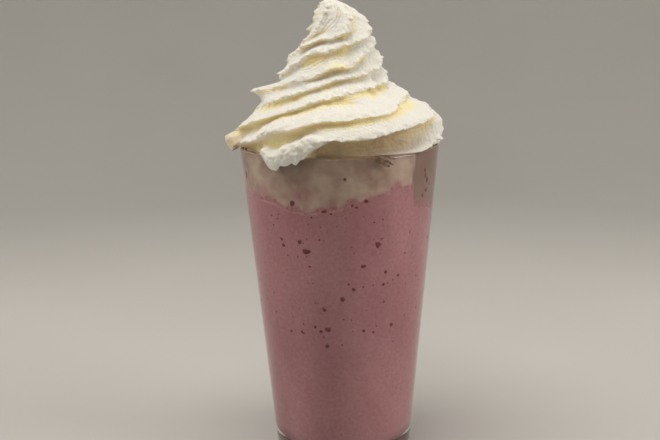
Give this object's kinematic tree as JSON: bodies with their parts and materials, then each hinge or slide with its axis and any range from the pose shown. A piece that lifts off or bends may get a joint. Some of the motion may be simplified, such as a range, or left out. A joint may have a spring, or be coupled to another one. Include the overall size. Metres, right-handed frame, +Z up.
{
  "type": "milkshake",
  "caption": "Pink milkshake in a tall conical glass, filled to the brim and topped with a tall piped swirl of whipped cream that spills over the rim.",
  "frame": {"origin": "middle of the glass foot's flat underside", "axes": "+Z up along the glass's axis; -Y is the front, where the cream spills over the rim a little to the left; +X to the right"},
  "size_m": [0.0983, 0.0907, 0.2122],
  "materials": {
    "glass": "clear, smooth tumbler glass",
    "milkshake": "wet, opaque dusty pink drink with small bubbles",
    "whipped_cream": "soft matte cream white, slightly see-through at thin edges"
  },
  "bodies": {
    "root": {"glass": "glass", "milkshake": "milkshake", "whipped_cream": "whipped_cream"}
  },
  "joints": []
}
